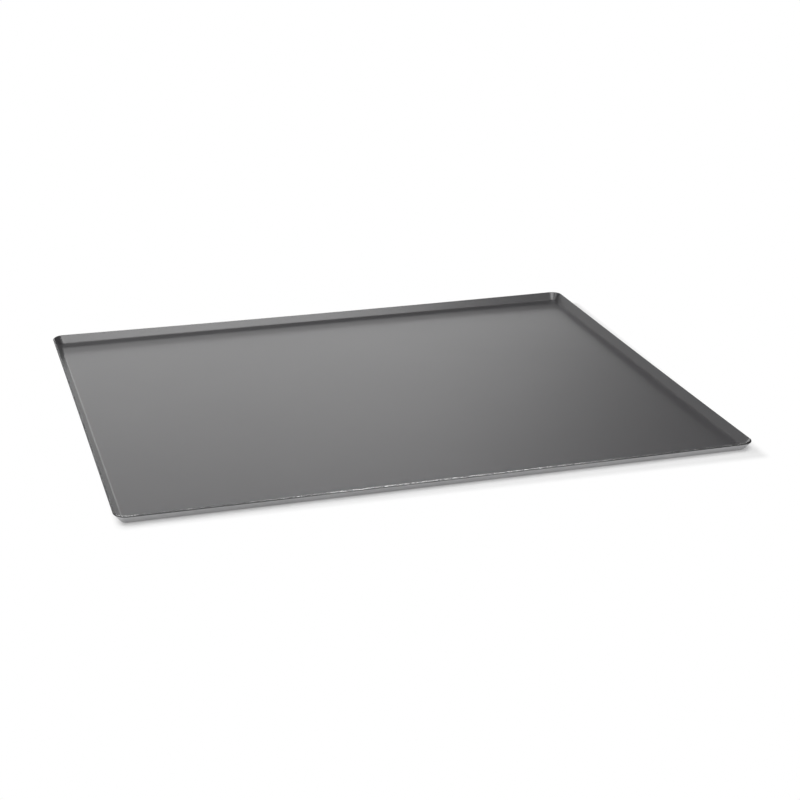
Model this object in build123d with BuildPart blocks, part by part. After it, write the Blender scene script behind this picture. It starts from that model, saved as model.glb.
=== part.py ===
from build123d import *

import os
from math import asin, atan2, cos, degrees, hypot, sin, sqrt

# Baking sheet for a double gastronorm oven: one pressed aluminium sheet, 650 by 530 mm, with a low rim
# that leans out on all four sides, and the dark non-stick film baked onto its upper face.
# Millimetres, +Z up. The origin is the middle of the flat underside, and X runs along the long side.

# Overall sizes, taken over the rim at the corners
tray_length = 650.0
tray_depth = 530.0

# Aluminium sheet, and the radius of its bend on the inside
sheet_thickness = 2.0
bend_radius = 3.0

# Rim at the corners: how far it leans out from the foot of the bend, and how high the lower edge of its
# cut end stands. In the middle of each side the wall is cut shorter, to a shallow curve.
rim_reach = 10.2
rim_rise = 9.6
long_side_bow = 1.2
short_side_bow = 0.6
foot_corner_radius = 3.0

# Non-stick film, on the upper face only
film_thickness = 0.05

quarter_turn = 90.0

# The foot line, where the flat ends and the bend begins
foot_half_length = tray_length / 2 - rim_reach
foot_half_depth = tray_depth / 2 - rim_reach
straight_half_length = foot_half_length - foot_corner_radius
straight_half_depth = foot_half_depth - foot_corner_radius

# The wall touches the bend's outer circle and runs straight from there to the rim's cut end
outer_bend_radius = bend_radius + sheet_thickness
end_from_bend_centre = hypot(rim_reach, rim_rise - outer_bend_radius)
wall_run = sqrt(end_from_bend_centre**2 - outer_bend_radius**2)
wall_lean = atan2(rim_rise - outer_bend_radius, rim_reach) + asin(outer_bend_radius / end_from_bend_centre)


def on_bend(radius, angle, start):
    """Place on the bend, out from the foot line and up from the underside; the foot is at start."""
    return (start + radius * sin(angle), outer_bend_radius - radius * cos(angle))


def bend_section(plane, inner_radius, outer_radius, start):
    """Section of one layer's bend, on a plane whose own X points outward."""
    with BuildSketch(plane) as section:
        with BuildLine():
            for radius in (inner_radius, outer_radius):
                ThreePointArc(
                    on_bend(radius, 0, start), on_bend(radius, wall_lean / 2, start), on_bend(radius, wall_lean, start)
                )
            for angle in (0, wall_lean):
                Line(on_bend(inner_radius, angle, start), on_bend(outer_radius, angle, start))
        make_face()
    return section.sketch


def wall_section(plane, inner_radius, outer_radius, start):
    """Section of one layer's wall at its full height, on a plane whose own X points outward."""
    inner_foot = on_bend(inner_radius, wall_lean, start)
    outer_foot = on_bend(outer_radius, wall_lean, start)
    across = wall_run * cos(wall_lean)
    up = wall_run * sin(wall_lean)
    with BuildSketch(plane) as section:
        with BuildLine():
            Polyline(
                outer_foot,
                (outer_foot[0] + across, outer_foot[1] + up),
                (inner_foot[0] + across, inner_foot[1] + up),
                inner_foot,
                close=True,
            )
        make_face()
    return section.sketch


def pressed_side(plane, half_span, bow, inner_radius, outer_radius):
    """One straight side of a layer: the bend, and the wall with its end cut to a shallow curve."""
    across, up = on_bend(outer_radius, wall_lean, 0)
    wall_plane = Plane(
        plane.from_local_coords(Vector(across, up, 0)),
        x_dir=plane.z_dir,
        z_dir=plane.y_dir * cos(wall_lean) - plane.x_dir * sin(wall_lean),
    )
    with BuildPart() as side:
        extrude(bend_section(plane, inner_radius, outer_radius, 0), amount=half_span, both=True)
        with BuildSketch(wall_plane):
            with BuildLine():
                Polyline((-half_span, wall_run), (-half_span, 0), (half_span, 0), (half_span, wall_run))
                ThreePointArc((half_span, wall_run), (0, wall_run - bow), (-half_span, wall_run))
            make_face()
        extrude(amount=outer_radius - inner_radius)
    return side.part


def pressed_corner(inner_radius, outer_radius):
    """The back right corner of a layer: the same bend and wall, turned about the foot line's corner."""
    across = Plane((straight_half_length, straight_half_depth, 0), x_dir=(1, 0, 0), z_dir=(0, -1, 0))
    upright = Axis((straight_half_length, straight_half_depth, 0), (0, 0, 1))
    with BuildPart() as corner:
        for section in (bend_section, wall_section):
            revolve(
                section(across, inner_radius, outer_radius, foot_corner_radius),
                axis=upright,
                revolution_arc=quarter_turn,
            )
    return corner.part


def pressed_layer(inner_radius, outer_radius):
    """One layer of the tray, between two radii of its bend: the flat, four sides and four corners."""
    across_right = Plane((foot_half_length, 0, 0), x_dir=(1, 0, 0), z_dir=(0, -1, 0))
    across_back = Plane((0, foot_half_depth, 0), x_dir=(0, 1, 0), z_dir=(1, 0, 0))
    right_side = pressed_side(across_right, straight_half_depth, short_side_bow, inner_radius, outer_radius)
    back_side = pressed_side(across_back, straight_half_length, long_side_bow, inner_radius, outer_radius)
    back_right_corner = pressed_corner(inner_radius, outer_radius)

    with BuildPart() as layer:
        with BuildSketch(Plane.XY.offset(outer_bend_radius - outer_radius)):
            RectangleRounded(2 * foot_half_length, 2 * foot_half_depth, foot_corner_radius)
        extrude(amount=outer_radius - inner_radius)
        add(right_side)
        mirror(right_side, about=Plane.YZ)
        add(back_side)
        mirror(back_side, about=Plane.XZ)
        add(back_right_corner)
        back_left_corner = mirror(back_right_corner, about=Plane.YZ)
        mirror(back_right_corner, about=Plane.XZ)
        mirror(back_left_corner, about=Plane.XZ)
    return layer.part


with BuildPart() as pressed_sheet:
    add(pressed_layer(bend_radius, outer_bend_radius))
pressed_sheet.part.label = "pressed_sheet"

with BuildPart() as nonstick_film:
    add(pressed_layer(bend_radius - film_thickness, bend_radius))
nonstick_film.part.label = "nonstick_film"

os.makedirs("parts", exist_ok=True)
export_step(pressed_sheet.part, "parts/pressed_sheet.step")
export_step(nonstick_film.part, "parts/nonstick_film.step")

print("wall leans", round(degrees(wall_lean), 1), "degrees above level and runs", round(wall_run, 2))
for piece in (pressed_sheet, nonstick_film):
    box = piece.part.bounding_box()
    print(piece.part.label, "solids", len(piece.part.solids()), "size", box.size, "volume", piece.part.volume)
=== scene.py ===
from math import asin, atan2, cos, hypot, pi, radians, sin, sqrt

import bmesh
import bpy
from mathutils import Euler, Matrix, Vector


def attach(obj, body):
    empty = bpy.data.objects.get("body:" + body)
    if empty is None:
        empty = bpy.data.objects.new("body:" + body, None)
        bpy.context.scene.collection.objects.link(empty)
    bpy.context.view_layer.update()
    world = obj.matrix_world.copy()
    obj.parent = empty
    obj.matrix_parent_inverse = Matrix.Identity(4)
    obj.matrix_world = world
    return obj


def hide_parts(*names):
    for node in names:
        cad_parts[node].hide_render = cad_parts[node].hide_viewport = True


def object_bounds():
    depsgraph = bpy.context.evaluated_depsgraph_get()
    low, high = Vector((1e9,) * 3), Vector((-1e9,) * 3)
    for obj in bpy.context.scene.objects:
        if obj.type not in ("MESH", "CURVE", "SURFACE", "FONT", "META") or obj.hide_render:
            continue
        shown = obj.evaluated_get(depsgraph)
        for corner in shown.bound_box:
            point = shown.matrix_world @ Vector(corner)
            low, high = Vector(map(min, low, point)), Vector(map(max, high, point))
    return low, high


# Baking sheet pressed from one sheet of aluminium: bare metal outside, a dark non-stick film on its upper
# face. Metres, +Z up, in the frame of the solids: the origin is the middle of the flat underside.

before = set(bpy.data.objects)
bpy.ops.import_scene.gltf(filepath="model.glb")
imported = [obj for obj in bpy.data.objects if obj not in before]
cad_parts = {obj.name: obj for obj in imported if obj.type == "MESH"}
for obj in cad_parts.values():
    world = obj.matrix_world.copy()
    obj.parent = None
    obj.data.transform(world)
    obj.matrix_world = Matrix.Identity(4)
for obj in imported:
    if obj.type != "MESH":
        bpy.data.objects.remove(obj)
cad_low, cad_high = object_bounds()

MM = 0.001

# The sheet, with the sizes that its solids have
half_length = (cad_high[0] - cad_low[0]) / 2
half_depth = (cad_high[1] - cad_low[1]) / 2
sheet_thickness = 2.0 * MM
film_thickness = 0.05 * MM
bend_radius = 3.0 * MM
rim_reach = 10.2 * MM
rim_rise = 9.6 * MM
long_side_bow = 1.2 * MM
short_side_bow = 0.6 * MM
foot_corner_radius = 3.0 * MM

foot_half_length = half_length - rim_reach
foot_half_depth = half_depth - rim_reach
straight_half_length = foot_half_length - foot_corner_radius
straight_half_depth = foot_half_depth - foot_corner_radius

outer_bend_radius = bend_radius + sheet_thickness
end_from_bend_centre = hypot(rim_reach, rim_rise - outer_bend_radius)
wall_run = sqrt(end_from_bend_centre**2 - outer_bend_radius**2)
wall_lean = atan2(rim_rise - outer_bend_radius, rim_reach) + asin(outer_bend_radius / end_from_bend_centre)

# The sheared edge: rolled over below, where the blade went in, and a tight burr above
rolled_radius = 0.45 * MM
burr_radius = 0.12 * MM
oversprayed_share = 0.55
oversprayed_index = 1
fractured_index = 2

# Fineness of the meshes
flat_cells_long = 96
flat_cells_deep = 80
corner_steps = 12
bend_steps = 14
wall_steps = 4
round_steps = 4
flat_margin = 1.5 * MM
edge_guard = 0.3 * MM


def cut_run(foot):
    """Straight length of the wall beside a place on the foot line: full at the corners, shorter between."""
    along_long_side = min(abs(foot.x) / straight_half_length, 1.0)
    along_short_side = min(abs(foot.y) / straight_half_depth, 1.0)
    if along_short_side < 1.0:
        return wall_run - short_side_bow * (1 - along_short_side**2)
    return wall_run - long_side_bow * (1 - along_long_side**2)


def outward(foot):
    """Direction in plan from the flat towards the rim, at a place on the foot line."""
    inner_x = max(-straight_half_length, min(foot.x, straight_half_length))
    inner_y = max(-straight_half_depth, min(foot.y, straight_half_depth))
    return Vector((foot.x - inner_x, foot.y - inner_y, 0)).normalized()


def on_flat(foot, depth, inset):
    """Point of the flat beside a place on the foot line, that far inside it."""
    return Vector((foot.x, foot.y, depth)) - outward(foot) * inset


def on_bend(foot, depth, share):
    """Point of the bend beside a place on the foot line; depth is measured in from the outer face."""
    radius = outer_bend_radius - depth
    across = outward(foot) * radius * sin(wall_lean * share)
    return Vector((foot.x, foot.y, outer_bend_radius - radius * cos(wall_lean * share))) + across


def on_wall(foot, depth, share, short=0.0):
    """Point of the leaning wall: share of the way up, to a length short of its end."""
    up_wall = (cut_run(foot) - short) * share
    rise = Vector((0, 0, up_wall * sin(wall_lean)))
    return on_bend(foot, depth, 1.0) + outward(foot) * up_wall * cos(wall_lean) + rise


def shares(steps):
    """Even shares, from the first step to 1."""
    return [step / steps for step in range(1, steps + 1)]


def lay_grid(bm, foot_layer, depth):
    """A flat grid inside the foot line, with round corners. Its border remembers its places on that line."""
    grid = bmesh.ops.create_grid(bm, x_segments=flat_cells_long, y_segments=flat_cells_deep, size=1.0)
    points = grid["verts"]
    bmesh.ops.scale(bm, vec=(foot_half_length, foot_half_depth, 1.0), verts=points)
    corners = [point for point in points if len(point.link_edges) == 2]
    bmesh.ops.bevel(
        bm, geom=corners, offset=foot_corner_radius, offset_type="OFFSET", segments=corner_steps,
        profile=0.5, affect="VERTICES", material=-1,
    )
    for point in bm.verts:
        if point.is_boundary:
            point[foot_layer] = point.co
            point.co = on_flat(point.co, depth, flat_margin)
        point.co.z = depth
    return [edge for edge in bm.edges if edge.is_boundary]


def grow(bm, foot_layer, ring, place):
    """Extrudes a ring of edges and moves each new point where place says for its foot."""
    made = bmesh.ops.extrude_edge_only(bm, edges=ring)["geom"]
    points = {item for item in made if isinstance(item, bmesh.types.BMVert)}
    for point in points:
        point.co = place(Vector(point[foot_layer]))
    return [item for item in made if isinstance(item, bmesh.types.BMEdge) and set(item.verts) <= points]


def grow_up(bm, foot_layer, ring, depth, short):
    """One face of the bend and wall, from the foot line to a length short of the wall's end."""
    ring = grow(bm, foot_layer, ring, lambda foot: on_flat(foot, depth, 0.0))
    for share in shares(bend_steps):
        ring = grow(bm, foot_layer, ring, lambda foot: on_bend(foot, depth, share))
    for share in shares(wall_steps):
        ring = grow(bm, foot_layer, ring, lambda foot: on_wall(foot, depth, share, short + edge_guard))
    return grow(bm, foot_layer, ring, lambda foot: on_wall(foot, depth, 1.0, short))


def grow_down(bm, foot_layer, ring, depth, short):
    """The other face, from the wall's end, where the ring stands, back to the flat, which it closes."""
    for share in shares(wall_steps)[::-1]:
        ring = grow(bm, foot_layer, ring, lambda foot: on_wall(foot, depth, share, short + edge_guard))
    for share in shares(bend_steps)[::-1]:
        ring = grow(bm, foot_layer, ring, lambda foot: on_bend(foot, depth, share))
    ring = grow(bm, foot_layer, ring, lambda foot: on_flat(foot, depth, 0.0))
    ring = grow(bm, foot_layer, ring, lambda foot: on_flat(foot, depth, flat_margin))
    bmesh.ops.contextual_create(bm, geom=ring)


def finish_piece(bm, name, node, finishes):
    """Makes the mesh a smooth object, in place of the solid."""
    bmesh.ops.recalc_face_normals(bm, faces=bm.faces)
    mesh = bpy.data.meshes.new(name)
    for face in bm.faces:
        face.smooth = True
    bm.to_mesh(mesh)
    bm.free()
    for finish in finishes:
        mesh.materials.append(finish)
    piece = bpy.data.objects.new(name, mesh)
    bpy.context.scene.collection.objects.link(piece)
    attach(piece, "root")
    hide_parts(node)


def press_sheet(mill, oversprayed, fractured):
    """The aluminium sheet: underside, outer face of the rim, sheared edge and upper face, closed."""
    bm = bmesh.new()
    foot_layer = bm.verts.layers.float_vector.new("foot")
    ring = lay_grid(bm, foot_layer, 0.0)
    ring = grow_up(bm, foot_layer, ring, 0.0, rolled_radius)
    mill_faces = len(bm.faces)
    for turn in shares(round_steps):
        depth = rolled_radius * (1 - cos(turn * pi / 2))
        short = rolled_radius * (1 - sin(turn * pi / 2))
        ring = grow(bm, foot_layer, ring, lambda foot: on_wall(foot, depth, 1.0, short))
    fracture_end = sheet_thickness * (1 - oversprayed_share)
    ring = grow(bm, foot_layer, ring, lambda foot: on_wall(foot, fracture_end, 1.0))
    fractured_faces = len(bm.faces)
    ring = grow(bm, foot_layer, ring, lambda foot: on_wall(foot, sheet_thickness - burr_radius, 1.0))
    for turn in shares(round_steps):
        depth = sheet_thickness - burr_radius * (1 - sin(turn * pi / 2))
        short = burr_radius * (1 - cos(turn * pi / 2))
        ring = grow(bm, foot_layer, ring, lambda foot: on_wall(foot, depth, 1.0, short))
    oversprayed_faces = len(bm.faces)
    grow_down(bm, foot_layer, ring, sheet_thickness, burr_radius)
    bm.faces.ensure_lookup_table()
    for face in bm.faces[mill_faces:fractured_faces]:
        face.material_index = fractured_index
    for face in bm.faces[fractured_faces:oversprayed_faces]:
        face.material_index = oversprayed_index
    finishes = [mill, oversprayed, fractured]
    finish_piece(bm, "pressed_sheet_metal", "pressed_sheet", finishes)


def bake_film(film):
    """The film on the upper face, from the middle to the sheared edge, where it ends at the burr."""
    bm = bmesh.new()
    foot_layer = bm.verts.layers.float_vector.new("foot")
    top = sheet_thickness + film_thickness
    ring = lay_grid(bm, foot_layer, top)
    upper_end = grow_up(bm, foot_layer, ring, top, burr_radius)
    lower_end = grow(
        bm, foot_layer, upper_end, lambda foot: on_wall(foot, sheet_thickness, 1.0, burr_radius)
    )
    grow_down(bm, foot_layer, lower_end, sheet_thickness, burr_radius)
    for edge in upper_end + lower_end:
        edge.smooth = False
    finish_piece(bm, "nonstick_film_coat", "nonstick_film", [film])


def new_finish(name):
    """An empty material with its shader and its object coordinates."""
    finish = bpy.data.materials.new(name)
    finish.use_nodes = True
    tree = finish.node_tree
    coordinates = tree.nodes.new("ShaderNodeTexCoord")
    return finish, tree, tree.nodes["Principled BSDF"], coordinates.outputs["Object"]


def stretched(tree, coordinates, scale):
    """Object coordinates stretched by a scale in each direction."""
    mapping = tree.nodes.new("ShaderNodeMapping")
    mapping.inputs["Scale"].default_value = scale
    tree.links.new(coordinates, mapping.inputs["Vector"])
    return mapping.outputs["Vector"]


def noise(tree, vector, scale, detail=3.0, roughness=0.5):
    """Grey noise with that many features to a metre."""
    texture = tree.nodes.new("ShaderNodeTexNoise")
    texture.inputs["Scale"].default_value = scale
    texture.inputs["Detail"].default_value = detail
    texture.inputs["Roughness"].default_value = roughness
    tree.links.new(vector, texture.inputs["Vector"])
    return texture.outputs["Fac"]


def spread(tree, value, low, high, start=0.3, end=0.7, smooth=False):
    """Maps a grey value from start and end to low and high."""
    node = tree.nodes.new("ShaderNodeMapRange")
    node.interpolation_type = "SMOOTHSTEP" if smooth else "LINEAR"
    node.inputs["From Min"].default_value = start
    node.inputs["From Max"].default_value = end
    node.inputs["To Min"].default_value = low
    node.inputs["To Max"].default_value = high
    tree.links.new(value, node.inputs["Value"])
    return node.outputs["Result"]


def combined(tree, operation, first, second):
    """Two values put together."""
    node = tree.nodes.new("ShaderNodeMath")
    node.operation = operation
    tree.links.new(first, node.inputs[0])
    tree.links.new(second, node.inputs[1])
    return node.outputs[0]


def blended(tree, factor, first, second):
    """Colour between two, by a factor."""
    node = tree.nodes.new("ShaderNodeMix")
    node.data_type = "RGBA"
    node.inputs[6].default_value = (*first, 1.0)
    node.inputs[7].default_value = (*second, 1.0)
    tree.links.new(factor, node.inputs["Factor"])
    return node.outputs[2]


def bump(tree, height, distance, strength=1.0, under=None):
    """Bump from a height value, over another bump if one is given."""
    node = tree.nodes.new("ShaderNodeBump")
    node.inputs["Strength"].default_value = strength
    node.inputs["Distance"].default_value = distance
    tree.links.new(height, node.inputs["Height"])
    if under is not None:
        tree.links.new(under, node.inputs["Normal"])
    return node.outputs["Normal"]


def film_finish():
    """Sprayed and baked non-stick film: dark grey, satin, with a faint orange peel."""
    finish, tree, shader, place = new_finish("satin_nonstick_film")
    darker = (0.049, 0.048, 0.050)
    paler = (0.057, 0.056, 0.058)
    smoother, rougher = 0.275, 0.291
    peel_depth = 0.01 * MM
    grit_depth = 0.002 * MM
    cloud = noise(tree, place, scale=9.0, detail=2.0)
    shade = blended(tree, spread(tree, cloud, 0.0, 1.0, start=0.1, end=0.9), darker, paler)
    tree.links.new(shade, shader.inputs["Base Color"])
    patches = noise(tree, place, scale=15.0, detail=2.0)
    patchy = spread(tree, patches, smoother, rougher, start=0.1, end=0.9)
    tree.links.new(patchy, shader.inputs["Roughness"])
    shader.inputs["IOR"].default_value = 1.5
    peel = noise(tree, place, scale=450.0, detail=2.0)
    grit = noise(tree, place, scale=3000.0, detail=1.0)
    relief = bump(tree, peel, peel_depth, strength=0.15)
    relief = bump(tree, grit, grit_depth, strength=0.15, under=relief)
    tree.links.new(relief, shader.inputs["Normal"])
    return finish


def mill_finish():
    """Bare rolled aluminium: pale grey, with fine lines along the rolling direction."""
    finish, tree, shader, place = new_finish("rolled_aluminium")
    darker = (0.39, 0.39, 0.395)
    paler = (0.44, 0.44, 0.445)
    smoother, rougher = 0.34, 0.46
    line_depth = 0.01 * MM
    along_rolling = stretched(tree, place, (6.0, 1400.0, 1400.0))
    lines = noise(tree, along_rolling, scale=1.0, detail=4.0, roughness=0.6)
    cloud = noise(tree, place, scale=9.0, detail=4.0, roughness=0.6)
    shade = blended(tree, spread(tree, cloud, 0.0, 1.0), darker, paler)
    tree.links.new(shade, shader.inputs["Base Color"])
    shader.inputs["Metallic"].default_value = 1.0
    tree.links.new(spread(tree, lines, smoother, rougher), shader.inputs["Roughness"])
    tree.links.new(bump(tree, lines, line_depth, strength=0.6), shader.inputs["Normal"])
    return finish


def wear_and_painted_highlight(tree, place):
    """How far the sheared edge is rubbed by hands, and where highlight is painted on it: most at the left and
    in the middle of the long sides, and least towards the near side's ends, where the edge is painted in
    shade."""
    near_ends = 0.35
    middle_end, near_ends_start = 90.0 * MM, 210.0 * MM
    away_from_near = 0.6
    near_edge_end, away_start = -262.0 * MM, -240.0 * MM
    left_edge_end, left_fade_end = -315.0 * MM, -295.0 * MM
    split = tree.nodes.new("ShaderNodeSeparateXYZ")
    tree.links.new(place, split.inputs["Vector"])
    from_middle = tree.nodes.new("ShaderNodeMath")
    from_middle.operation = "ABSOLUTE"
    tree.links.new(split.outputs["X"], from_middle.inputs[0])
    middle = spread(
        tree, from_middle.outputs[0], 1.0, near_ends, start=middle_end, end=near_ends_start, smooth=True
    )
    other_sides = spread(tree, split.outputs["Y"], 0.0, away_from_near, start=near_edge_end, end=away_start)
    # The near-left corner counts as fully worn, which paints glints of bare metal there: painted highlight.
    left_side = spread(tree, split.outputs["X"], 1.0, 0.0, start=left_edge_end, end=left_fade_end)
    return combined(tree, "MAXIMUM", combined(tree, "MAXIMUM", middle, other_sides), left_side)


def oversprayed_finish():
    """Upper part of the sheared edge: the spray has run over it, and it is rubbed down to metal in spots,
    which are also painted highlights, more of them where the edge is painted lit.
    """
    finish, tree, shader, place = new_finish("oversprayed_aluminium_edge")
    sprayed = (0.034, 0.034, 0.035)
    bare = (0.55, 0.55, 0.55)
    sprayed_roughness, bare_roughness = 0.60, 0.32
    mark_depth = 0.03 * MM
    marks = noise(tree, place, scale=1500.0, detail=3.0, roughness=0.6)
    spots = spread(tree, marks, 0.0, 1.0, start=0.50, end=0.64)
    # Wear spots from noise, thinned out where the edge is painted in shade and thickened where it is painted
    # lit.
    worn_and_highlight_spots = combined(tree, "MULTIPLY", spots, wear_and_painted_highlight(tree, place))
    shade = blended(tree, worn_and_highlight_spots, sprayed, bare)
    tree.links.new(shade, shader.inputs["Base Color"])
    shader.inputs["Metallic"].default_value = 1.0
    rough = spread(tree, worn_and_highlight_spots, sprayed_roughness, bare_roughness, start=0.0, end=1.0)
    tree.links.new(rough, shader.inputs["Roughness"])
    tree.links.new(bump(tree, marks, mark_depth, strength=0.5), shader.inputs["Normal"])
    return finish


def fractured_finish():
    """Lower part of the sheared edge, torn rather than cut: dull and grainy, with random tone, painted paler
    in the middle and at the left as painted light and darker towards the near side's ends as painted shade.
    """
    finish, tree, shader, place = new_finish("fractured_aluminium_edge")
    painted_shade_tone = (0.02, 0.02, 0.02)
    painted_light_tone = (0.10, 0.10, 0.10)
    smoother, rougher = 0.50, 0.70
    grain_depth = 0.08 * MM
    grain = noise(tree, place, scale=2600.0, detail=4.0, roughness=0.7)
    runs = noise(tree, place, scale=45.0, detail=3.0, roughness=0.6)
    # Random tone times the position mask: the edge's colour is painted light in the middle and painted shade
    # towards the near side's ends.
    tone_and_painted_light = combined(tree, "MULTIPLY", spread(tree, runs, 0.5, 1.0), wear_and_painted_highlight(tree, place))
    shade = blended(tree, tone_and_painted_light, painted_shade_tone, painted_light_tone)
    tree.links.new(shade, shader.inputs["Base Color"])
    shader.inputs["Metallic"].default_value = 1.0
    tree.links.new(spread(tree, grain, smoother, rougher), shader.inputs["Roughness"])
    tree.links.new(bump(tree, grain, grain_depth, strength=0.8), shader.inputs["Normal"])
    return finish


def seen_by_camera_or_gloss(tree):
    """1 for rays from the camera and from gloss or glass, 0 for the light that falls on things."""
    path = tree.nodes.new("ShaderNodeLightPath").outputs
    camera_or_gloss = combined(tree, "MAXIMUM", path["Is Camera Ray"], path["Is Glossy Ray"])
    return combined(tree, "MAXIMUM", camera_or_gloss, path["Is Transmission Ray"])


def lay_floor():
    """White floor: near the tray it is a grey patch, painted shadow around the tray's own shadow, and plain
    white further out.
    """
    floor_reach = 12.0
    floor_cells = 24
    floor_depth = 0.02 * MM
    floor_lift = 0.30
    # Painted shadow: the floor's grey colour and lift show only inside a rectangle, set to the near right of
    # the middle and turned a little, and fade to white beyond it.
    shadow_middle = (10.0 * MM, -12.0 * MM, 0.0)
    shadow_turn = radians(-1.0)
    shadow_half_size = (half_length - 6.0 * MM, half_depth - 9.5 * MM, 1.0)
    white_reach = 13.0 * MM
    darker = (0.43, 0.43, 0.43)
    paler = (0.44, 0.44, 0.44)
    grain_depth = 0.01 * MM
    bm = bmesh.new()
    grid = bmesh.ops.create_grid(bm, x_segments=floor_cells, y_segments=floor_cells, size=floor_reach)
    bmesh.ops.translate(bm, vec=(0.0, 0.0, -floor_depth), verts=grid["verts"])
    mesh = bpy.data.meshes.new("studio_floor")
    bm.to_mesh(mesh)
    bm.free()
    floor = bpy.data.objects.new("studio_floor", mesh)
    bpy.context.scene.collection.objects.link(floor)

    finish, tree, shader, place = new_finish("white_floor")
    grain = noise(tree, place, scale=300.0, detail=2.0)
    shade = blended(tree, spread(tree, grain, 0.0, 1.0), darker, paler)
    tree.links.new(shade, shader.inputs["Base Color"])
    tree.links.new(spread(tree, grain, 0.97, 1.0), shader.inputs["Roughness"])
    shader.inputs["Specular IOR Level"].default_value = 0.0
    shader.inputs["Emission Color"].default_value = (1.0, 1.0, 1.0, 1.0)
    tree.links.new(bump(tree, grain, grain_depth, strength=0.2), shader.inputs["Normal"])
    seen = seen_by_camera_or_gloss(tree)
    lift = spread(tree, seen, 0.0, floor_lift, start=0.0, end=1.0)
    tree.links.new(lift, shader.inputs["Emission Strength"])

    from_shadow = tree.nodes.new("ShaderNodeMapping")
    from_shadow.vector_type = "TEXTURE"
    from_shadow.inputs["Location"].default_value = shadow_middle
    from_shadow.inputs["Rotation"].default_value = (0.0, 0.0, shadow_turn)
    tree.links.new(place, from_shadow.inputs["Vector"])
    size = tree.nodes.new("ShaderNodeVectorMath")
    size.operation = "ABSOLUTE"
    tree.links.new(from_shadow.outputs[0], size.inputs[0])
    beyond = tree.nodes.new("ShaderNodeVectorMath")
    beyond.operation = "SUBTRACT"
    beyond.inputs[1].default_value = shadow_half_size
    tree.links.new(size.outputs[0], beyond.inputs[0])
    outside = tree.nodes.new("ShaderNodeVectorMath")
    outside.operation = "MAXIMUM"
    outside.inputs[1].default_value = (0.0, 0.0, 0.0)
    tree.links.new(beyond.outputs[0], outside.inputs[0])
    distance = tree.nodes.new("ShaderNodeVectorMath")
    distance.operation = "LENGTH"
    tree.links.new(outside.outputs[0], distance.inputs[0])
    from_edge = distance.outputs["Value"]
    whiteness = spread(tree, from_edge, 0.0, 1.0, start=0.0, end=white_reach, smooth=True)
    plain_white = tree.nodes.new("ShaderNodeEmission")
    plain_white.inputs["Strength"].default_value = 1.0
    mixed = tree.nodes.new("ShaderNodeMixShader")
    tree.links.new(combined(tree, "MULTIPLY", whiteness, seen), mixed.inputs["Fac"])
    tree.links.new(shader.outputs["BSDF"], mixed.inputs[1])
    tree.links.new(plain_white.outputs["Emission"], mixed.inputs[2])
    tree.links.new(mixed.outputs["Shader"], tree.nodes["Material Output"].inputs["Surface"])
    mesh.materials.append(finish)


def light_panel(name, place, aim, width, height, brightness):
    """A soft panel of light at a place, turned to face aim; at brightness 1 it looks white."""
    lamp = bpy.data.lights.new(name, "AREA")
    lamp.shape = "RECTANGLE"
    lamp.size = width
    lamp.size_y = height
    lamp.energy = brightness * pi * width * height
    panel = bpy.data.objects.new(name, lamp)
    panel.location = place
    panel.rotation_euler = (Vector(aim) - Vector(place)).to_track_quat("-Z", "Y").to_euler()
    bpy.context.scene.collection.objects.link(panel)


def towards(tree, direction, azimuth, value, start, end, slope=0.0):
    """1 for most directions, and value in the ones near an azimuth, which is counted from +Y towards +X.
    With a slope, the part near the azimuth grows wider higher up."""
    nearness = tree.nodes.new("ShaderNodeVectorMath")
    nearness.operation = "DOT_PRODUCT"
    nearness.inputs[1].default_value = (sin(azimuth), cos(azimuth), slope)
    tree.links.new(direction, nearness.inputs[0])
    return spread(tree, nearness.outputs["Value"], 1.0, value, start, end, smooth=True)


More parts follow.
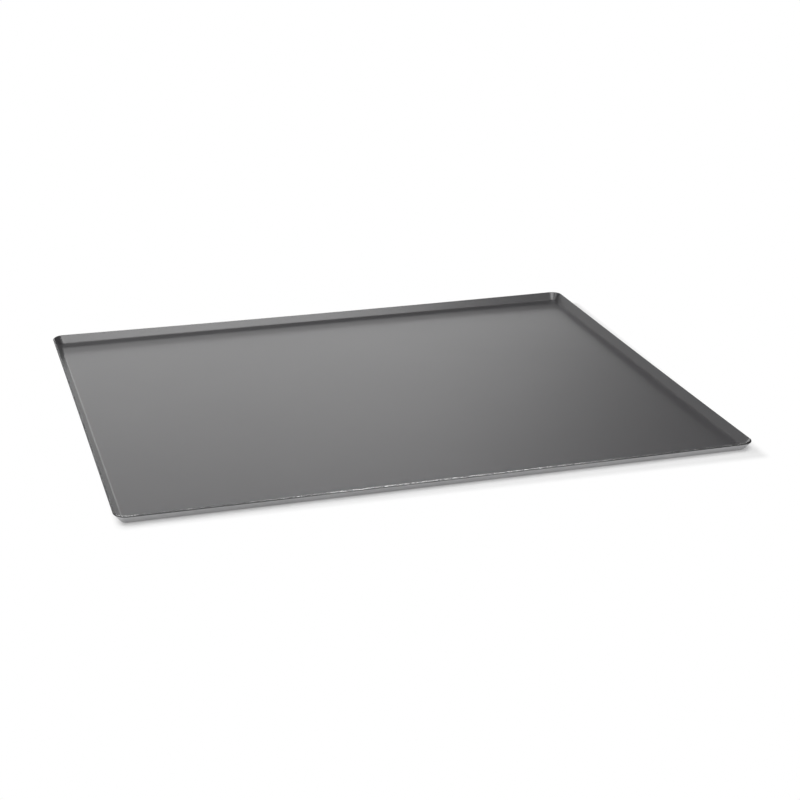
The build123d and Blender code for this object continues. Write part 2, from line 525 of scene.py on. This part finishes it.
def studio_world():
    """Even soft light on the tray. Its gloss sees a backdrop that is brightest low down, grey at the left of
    the picture and dark at the right."""
    soft_light = 0.22
    brightest = 5.0
    heights = (0.0, 0.11, 0.19, 0.255, 0.32, 0.38, 0.445, 0.85, 0.93, 1.0)
    brightness = (0.5, 1.7, 4.9, 0.30, 1.1, 2.45, 0.08, 0.04, 2.6, 2.6)
    dark = 0.02
    dark_azimuth = radians(70.0)
    dark_slope = 0.55
    dark_start, dark_end = 0.760, 0.872
    grey = 0.30
    grey_azimuth = radians(-60.0)
    grey_start, grey_end = 0.64, 0.86
    world = bpy.data.worlds.new("studio")
    bpy.context.scene.world = world
    world.use_nodes = True
    tree = world.node_tree
    background = tree.nodes["Background"]
    direction = tree.nodes.new("ShaderNodeTexCoord").outputs["Generated"]
    split = tree.nodes.new("ShaderNodeSeparateXYZ")
    tree.links.new(direction, split.inputs["Vector"])
    ramp = tree.nodes.new("ShaderNodeValToRGB")
    ramp.color_ramp.interpolation = "EASE"
    stops = ramp.color_ramp.elements
    for height in heights[1:-1]:
        stops.new(height)
    for stop, level in zip(stops, brightness):
        stop.color = [level / brightest] * 3 + [1.0]
    tree.links.new(split.outputs["Z"], ramp.inputs["Fac"])
    fading = spread(tree, ramp.outputs["Color"], 0.0, brightest, start=0.0, end=1.0)
    clear = towards(tree, direction, dark_azimuth, dark, dark_start, dark_end, dark_slope)
    pale = towards(tree, direction, grey_azimuth, grey, grey_start, grey_end)
    in_gloss = combined(tree, "MULTIPLY", combined(tree, "MULTIPLY", fading, clear), pale)
    path = tree.nodes.new("ShaderNodeLightPath").outputs
    for_gloss = tree.nodes.new("ShaderNodeMix")
    for_gloss.data_type = "FLOAT"
    for_gloss.inputs[2].default_value = soft_light
    tree.links.new(path["Is Glossy Ray"], for_gloss.inputs["Factor"])
    tree.links.new(in_gloss, for_gloss.inputs[3])
    for_camera = tree.nodes.new("ShaderNodeMix")
    for_camera.data_type = "FLOAT"
    for_camera.inputs[3].default_value = 1.0
    tree.links.new(path["Is Camera Ray"], for_camera.inputs["Factor"])
    tree.links.new(for_gloss.outputs[0], for_camera.inputs[2])
    tree.links.new(for_camera.outputs[0], background.inputs["Strength"])
    background.inputs["Color"].default_value = (1.0, 1.0, 1.0, 1.0)


def set_camera():
    """The photograph's view: from in front, a little left of the middle, looking down by about 21 degrees."""
    lens = bpy.data.cameras.new("camera")
    lens.sensor_width = 36.0
    lens.lens = 75.048
    lens.shift_x = 0.03062
    lens.clip_start = 0.05
    lens.clip_end = 60.0
    camera = bpy.data.objects.new("camera", lens)
    camera.location = (-0.48507, -1.65300, 0.66001)
    camera.rotation_euler = Euler((radians(68.8195), radians(-0.1430), radians(-16.3140)), "XYZ")
    bpy.context.scene.collection.objects.link(camera)
    bpy.context.scene.camera = camera


set_camera()
studio_world()
lay_floor()
light_panel(
    "overhead_softbox", place=(0.175, -1.12, 1.5), aim=(0.175, -1.12, 0.0),
    width=1.03, height=1.50, brightness=6.95,
)
light_panel(
    "left_softbox", place=(-1.2, 0.0, 1.5), aim=(0.0, 0.0, 0.0),
    width=0.8, height=0.8, brightness=5.0,
)
press_sheet(mill_finish(), oversprayed_finish(), fractured_finish())
bake_film(film_finish())

bpy.context.scene.view_settings.view_transform = "Standard"
